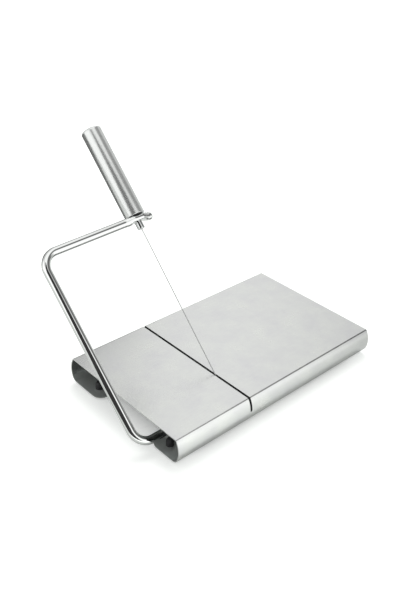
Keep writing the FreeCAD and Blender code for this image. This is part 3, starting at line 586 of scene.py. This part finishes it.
def slot_cutter(side):
    """A bar of the slot's own section, flat above and half round below, from the middle out to one side."""
    depth = slot_depths[side]
    turn = np.linspace(math.pi, 2 * math.pi, 13)
    section = np.concatenate((
        np.stack((np.cos(turn) * slot_half, np.sin(turn) * slot_half + slot_half - depth), axis=1),
        ((slot_half, sheet), (-slot_half, sheet))))
    reach = np.array((-side * 1.0 * MM, side * top_half * 1.2))
    return closed_surface("slot_cutter", np.stack((
        np.broadcast_to(section[:, 0] + slot_x, (2, len(section))),
        np.broadcast_to(reach[:, None], (2, len(section))),
        np.broadcast_to(section[:, 1], (2, len(section)))), axis=-1))


foot_names = [name for name in nodes if name.startswith("foot_")]
foot_places = {name: (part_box(name)[0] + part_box(name)[1]) / 2 for name in foot_names}
foot_hole = 2.35 * MM
cutters = [slot_cutter(-1), slot_cutter(1)]
for place in foot_places.values():
    hole = np.array(((foot_hole, -sheet), (foot_hole, sheet * 2)))
    cutters.append(closed_surface("foot_cutter", turned_rings(hole, (place.x, place.y, -board_height), (0, 0, 1), 32)))
board_mesh = carved("rolled_board", board_blank, cutters)


def distance_to(points, line):
    """The distance of each point to a broken line: to the closest place on the closest segment."""
    start, step = line[:-1], np.diff(line, axis=0)
    share = np.einsum("psk,sk->ps", points[:, None] - start, step) / (step ** 2).sum(1)
    near = start + np.clip(share, 0, 1)[..., None] * step
    return np.linalg.norm(points[:, None] - near, axis=-1).min(1)


centres = np.empty(len(board_mesh.polygons) * 3)
board_mesh.polygons.foreach_get("center", centres)
centres = centres.reshape(-1, 3)
from_inner, from_outer = distance_to(centres[:, 1:], inner), distance_to(centres[:, 1:], outer)
# Kind 1 marks the inside faces, whose tint the finish paints darker as shade.
face_kind = np.where(from_inner < 0.05 * MM, 1.0, 0.0)
cut = (from_inner > 0.1 * MM) & (from_outer > 0.1 * MM)
# Kind 2 marks the slot's walls, which the finish paints near black as shade; kind 3 marks the end faces.
face_kind[cut] = np.where(np.abs(centres[cut, 0] - slot_x) < 1.2 * MM, 2.0, 3.0)
board_mesh.attributes.new("sheet_face", "FLOAT", "FACE").data.foreach_set("value", face_kind)
print("faces outside, inside, of the slot and of the ends:", [int((face_kind == kind).sum()) for kind in (0, 1, 2, 3)])
board = add_piece("rolled_board", board_mesh, "base", "board_steel", ("board",), sharp=28)

# %% [markdown]
# The arm is one rod, bent cold: the axle, the side leg and the top leg, with a bend between each two.
# A bend is an arc that meets both legs at a tangent. Its end was pressed flat into an eye and keeps a
# round nub beyond it. So the section changes along the rod: a circle, then a wide oval with two flats,
# and a circle again. The path is worked out in the arm's own plane, with x along the axle.

# %% Arm plane
axle = np.array(joints["arm_swing"]["pos_m"])
mouth = np.array(joints["handle_spin"]["pos_m"])
grip_axis = np.array(joints["handle_spin"]["axis"])
arm_x = np.array((1.0, 0.0, 0.0))
arm_up = (mouth - axle) / np.linalg.norm(mouth - axle)
arm_out = np.cross(arm_x, arm_up)
mouth_height = np.linalg.norm(mouth - axle)
rod_radius = 3.2 * MM
bend_radius = 12.5 * MM
axle_tail = 5.0 * MM
leg_x = -84.65 * MM
leg_height = 148.9 * MM
leg_slope = math.tan(math.radians(1.3))
top_slope = math.tan(math.radians(1.9))
grip_slope = -grip_axis[0] / (grip_axis @ arm_up)
high_x = leg_x - leg_height * leg_slope
eye_height = leg_height - high_x * top_slope
eye_back = 13.0 * MM
nub_end = 13.6 * MM
print("the eye is", round(eye_height / MM, 2), "mm from the axle")


def bent_path(corners, radius, step):
    """Points and directions along straight legs joined by arcs of one radius, in the arm's plane."""
    corners = np.array(corners)
    legs = np.diff(corners, axis=0)
    heading = legs / np.linalg.norm(legs, axis=1)[:, None]
    points, directions = [corners[:1]], [heading[:1]]
    for corner, arriving, leaving in zip(corners[1:-1], heading, heading[1:]):
        turn = math.acos(arriving @ leaving)
        trim = radius * math.tan(turn / 2)
        inwards = (leaving - arriving) / np.linalg.norm(leaving - arriving)
        centre = corner + inwards * radius / math.cos(turn / 2)
        count = int(math.ceil(radius * turn / step))
        swing = turn * np.linspace(0, 1, count + 1)[:, None]
        start = corner - arriving * trim - centre
        start_unit = start / np.linalg.norm(start)
        points.append(centre + radius * (np.cos(swing) * start_unit + np.sin(swing) * arriving))
        directions.append(np.cos(swing) * arriving - np.sin(swing) * start_unit)
    points.append(corners[-1:])
    directions.append(heading[-1:])
    return np.concatenate(points), np.concatenate(directions)


# %% Rod
def ease(value, start, end):
    """0 before start, 1 after end, and a smooth step between them."""
    t = np.clip((value - start) / (end - start), 0, 1)
    return t * t * (3 - 2 * t)


eye_half_wide = 5.0 * MM
eye_half_thick = 2.3 * MM
eye_bulge = 1.5 * MM
flat_reach = 8.6 * MM
nub_start = 10.8 * MM
nub_round = 2.0 * MM
nub_drop = 1.1 * MM
round_count = 96


def pressed_flat(height, limit):
    """A height pressed down to a limit. It stays as it is when small, and its corner stays softly round."""
    return height / (1 + np.abs(height / limit) ** 8) ** 0.125


def eye_stations():
    """Places along the eye and the nub: close together, and closest on the nub's rounded edge."""
    edge = nub_end - nub_round * (1 - np.sin(np.radians(np.linspace(0, 90, 13))))
    return np.concatenate((np.linspace(-eye_back, edge[0], 110)[:-1], edge))


def rod_rings():
    """The rod's surface: rings square to its path.

    Up to the eye each ring is a circle, narrower in the two clip grooves and at the axle's chamfer. In
    the eye the half width and half height ease from the circle to the oval and back. The press leaves
    the oval flat above and below, and its lower face runs out on a longer slope than the upper one.
    """
    grooves = []
    for name in ("axle_clip_inner", "axle_clip_outer"):
        low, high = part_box(name)
        grooves.append((high.x - axle[0] + 0.04 * MM, low.x - axle[0] - 0.04 * MM))
    path, heading = bent_path(
        [(axle_tail, 0), (leg_x, 0), (high_x, leg_height), (-eye_back, eye_height - eye_back * top_slope)],
        bend_radius, 0.5 * MM)
    groove_core = 2.6 * MM
    chamfer = 0.6 * MM
    start = [(axle_tail + chamfer, rod_radius - chamfer), (axle_tail, rod_radius)]
    for right_side, left_side in grooves:
        start += [(right_side, rod_radius), (right_side, groove_core), (left_side, groove_core),
                  (left_side, rod_radius)]
    start = np.array(start)
    along = eye_stations()
    centre = np.concatenate((
        np.stack((start[:, 0], np.zeros(len(start))), axis=1), path[1:-1],
        np.stack((along, eye_height + along * np.where(along < -flat_reach, top_slope, grip_slope)
                  - nub_drop * ease(along, flat_reach * 0.75, nub_start)), axis=1)))
    direction = np.concatenate((np.tile((-1.0, 0.0), (len(start), 1)), heading[1:-1],
                                np.tile((math.cos(math.atan(grip_slope)), math.sin(math.atan(grip_slope))),
                                        (len(along), 1))))
    away = np.abs(along)
    pressed = np.where(along < 0, ease(away, eye_back, 3.0 * MM), ease(away, nub_start + 0.4 * MM, 3.6 * MM))
    wide = rod_radius + (eye_half_wide - rod_radius) * pressed
    thick = rod_radius + (eye_half_thick + eye_bulge - rod_radius) * pressed
    nub = np.clip(along - (nub_end - nub_round), 0, nub_round)
    shrink = nub_round - np.sqrt(nub_round ** 2 - nub ** 2)
    plain = np.concatenate((start[:, 1], np.full(len(path) - 2, rod_radius)))
    half_wide = np.concatenate((plain, wide - shrink))
    half_thick = np.concatenate((plain, thick - shrink))
    drop = nub_drop * ease(along, flat_reach * 0.75, nub_start)
    free = 40 * MM
    above = eye_half_thick + drop + free * ease(away, flat_reach, flat_reach + 4 * MM)
    below = eye_half_thick - drop + free * ease(away, flat_reach - 2.4 * MM, flat_reach + 4 * MM)
    untouched = np.full(len(plain), free)
    turn = np.linspace(0, 2 * math.pi, round_count, endpoint=False)
    out = half_wide[:, None] * np.cos(turn)
    height = half_thick[:, None] * np.sin(turn)
    limit = np.where(height > 0, np.concatenate((untouched, above))[:, None],
                     np.concatenate((untouched, below))[:, None])
    square = pressed_flat(height, limit)
    normal = np.stack((-direction[:, 1], direction[:, 0]), axis=1)
    plane = centre[:, None, :] + square[..., None] * normal[:, None, :]
    return axle + plane[..., :1] * arm_x + plane[..., 1:] * arm_up + out[..., None] * arm_out


rod_blank = closed_surface("rod_blank", rod_rings())
eye_hole = 3.0 * MM
wire_hole = 0.7 * MM
ball_low, ball_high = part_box("wire_ball_lower")
ball_centre = np.array((ball_low + ball_high) / 2)
ball_radius = 1.4 * MM
seat_turn = np.radians(np.linspace(-88, 88, 24))
seat = np.stack((np.cos(seat_turn), np.sin(seat_turn)), axis=1) * (ball_radius + 0.02 * MM)
cutters = [
    closed_surface("eye_drill", turned_rings(
        ((eye_hole, 0), (eye_hole, 20 * MM)), mouth, grip_axis, 64)),
    closed_surface("wire_drill", turned_rings(
        ((wire_hole, -8 * MM), (wire_hole, 8 * MM)), axle, arm_up, 24)),
    closed_surface("ball_seat", turned_rings(seat, ball_centre, arm_up, 32)),
]
rod_mesh = carved("chromed_rod", rod_blank, cutters)
add_piece("chromed_rod", rod_mesh, "arm", "rod_chrome", ("wire_arm",), sharp=40)

# %% [markdown]
# The handle is a tube drawn with a closed end, so it is turned from one profile: up the outside, over
# the rounded end, and down the inside. Its lower rim is rounded too, which is why it looks narrower
# where it meets the eye.

# %% Handle
grip_bottom, grip_top, grip_radius = reach_along("handle_tube", mouth, grip_axis)
grip_wall = 1.2 * MM
end_round = 2.0 * MM
rim_round = 0.5 * MM


def arc_points(centre, radius, start, end, count=10):
    """Points on an arc in (radius, height), from one angle to another in degrees."""
    angle = np.radians(np.linspace(start, end, count))
    return np.stack((centre[0] + radius * np.cos(angle), centre[1] + radius * np.sin(angle)), axis=1)


inside = grip_radius - grip_wall
tiny = 0.01 * MM
profile = np.concatenate((
    ((inside, grip_bottom),),
    arc_points((grip_radius - rim_round, grip_bottom + rim_round), rim_round, -90, 0),
    arc_points((grip_radius - end_round, grip_top - end_round), end_round, 0, 90, 14),
    ((tiny, grip_top), (tiny, grip_top - grip_wall), (inside, grip_top - grip_wall), (inside, grip_bottom))))
handle_rings = turned_rings(profile, mouth, grip_axis, 96)
print("handle is", round((grip_top - grip_bottom) / MM, 1), "mm long and",
      round(2 * grip_radius / MM, 1), "mm thick")


def closed_ring(name, rings):
    """A closed mesh whose last ring is its first one again, such as a tube's wall."""
    rings = rings[:-1]
    rows, round_count = rings.shape[:2]
    points = rings.reshape(-1, 3)
    i = np.arange(rows)[:, None]
    j = np.arange(round_count)[None, :]
    below, above = i * round_count, (i + 1) % rows * round_count
    after = (j + 1) % round_count
    quads = np.stack((below + j, below + after, above + after, above + j), axis=-1).reshape(-1, 4)
    if enclosed_volume(points - points.mean(0), quads) < 0:
        quads = quads[:, ::-1]
    mesh = bpy.data.meshes.new(name)
    mesh.from_pydata(points.tolist(), [], quads.tolist())
    return mesh


add_piece("handle_grip", closed_ring("handle_grip", handle_rings), "handle", "grip_steel", ("handle_tube",))

# %% [markdown]
# The tension screw shows only its polished ferrule, below the eye. Above the shoulder it carries a
# fine thread inside the handle. The thread is the same turned profile with its radius lowered by a
# triangle wave that climbs one pitch in each turn, so the crest is a helix.

# %% Tension screw
screw_low, screw_top, ferrule_radius = reach_along("tension_screw", mouth, grip_axis)
thread_radius = 2.45 * MM
thread_depth = 0.35 * MM
pitch = 0.8 * MM
shoulder = grip_bottom - 0.3 * MM
bore = 0.7 * MM
ferrule_round = 0.6 * MM
shank = np.linspace(shoulder, screw_top - 0.5 * MM, 240)
profile = np.concatenate((
    ((bore, 0),),
    arc_points((ferrule_radius - ferrule_round, ferrule_round), ferrule_round, -90, 0, 8),
    ((ferrule_radius, shoulder),),
    np.stack((np.full(240, thread_radius), shank), axis=1),
    ((thread_radius - 0.5 * MM, screw_top), (bore, screw_top), (bore, 0))))
screw_rings = turned_rings(profile, mouth, grip_axis, 48)
heights = profile[:, 1][:, None]
turn = np.linspace(0, 1, 48, endpoint=False)[None, :]
phase = (heights / pitch - turn) % 1
groove = thread_depth * (1 - np.abs(2 * phase - 1))
on_thread = (np.abs(profile[:, 0] - thread_radius) < 1e-9)[:, None]
fade = ease(heights, shoulder + 0.2 * MM, shoulder + pitch) * ease(-heights, -screw_top + 0.5 * MM, -screw_top + pitch + 0.5 * MM)
deep = np.where(on_thread, groove * fade, 0)
centre_line = mouth + heights[..., None] * grip_axis
spokes = screw_rings - centre_line
lengths = np.linalg.norm(spokes, axis=-1, keepdims=True)
screw_rings = centre_line + spokes * (1 - deep[..., None] / lengths)
add_piece("threaded_ferrule", closed_ring("threaded_ferrule", screw_rings), "tension_screw", "screw_steel",
          ("tension_screw",), sharp=50)

# %% [markdown]
# The cutting wire is a plain round wire, drawn tight from the ball under the axle to the ball in the
# handle. It turns by a degree on a wide curve where it enters the ferrule.

# %% Cutting wire
wire_radius = 0.35 * MM
wire_low = (ball_centre - axle) @ arm_up - ball_radius - 0.3 * MM
upper_ball = (np.array(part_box("wire_ball_upper")[0]) + np.array(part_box("wire_ball_upper")[1])) / 2
wire_top = np.linalg.norm(upper_ball - mouth) + ball_radius + 0.3 * MM
wire_end = mouth + grip_axis * wire_top - axle
path, heading = bent_path(
    [(0, wire_low), (0, mouth_height), (wire_end @ arm_x, wire_end @ arm_up)], 40 * MM, 0.1 * MM)
turn = np.linspace(0, 2 * math.pi, 20, endpoint=False)
normal = np.stack((-heading[:, 1], heading[:, 0]), axis=1)
plane = path[:, None, :] + (wire_radius * np.sin(turn))[None, :, None] * normal[:, None, :]
rings = (axle + plane[..., :1] * arm_x + plane[..., 1:] * arm_up
         + (wire_radius * np.cos(turn))[None, :, None] * arm_out)
add_piece("taut_wire", closed_surface("taut_wire", rings), "arm", "wire_steel", ("cutting_wire",))
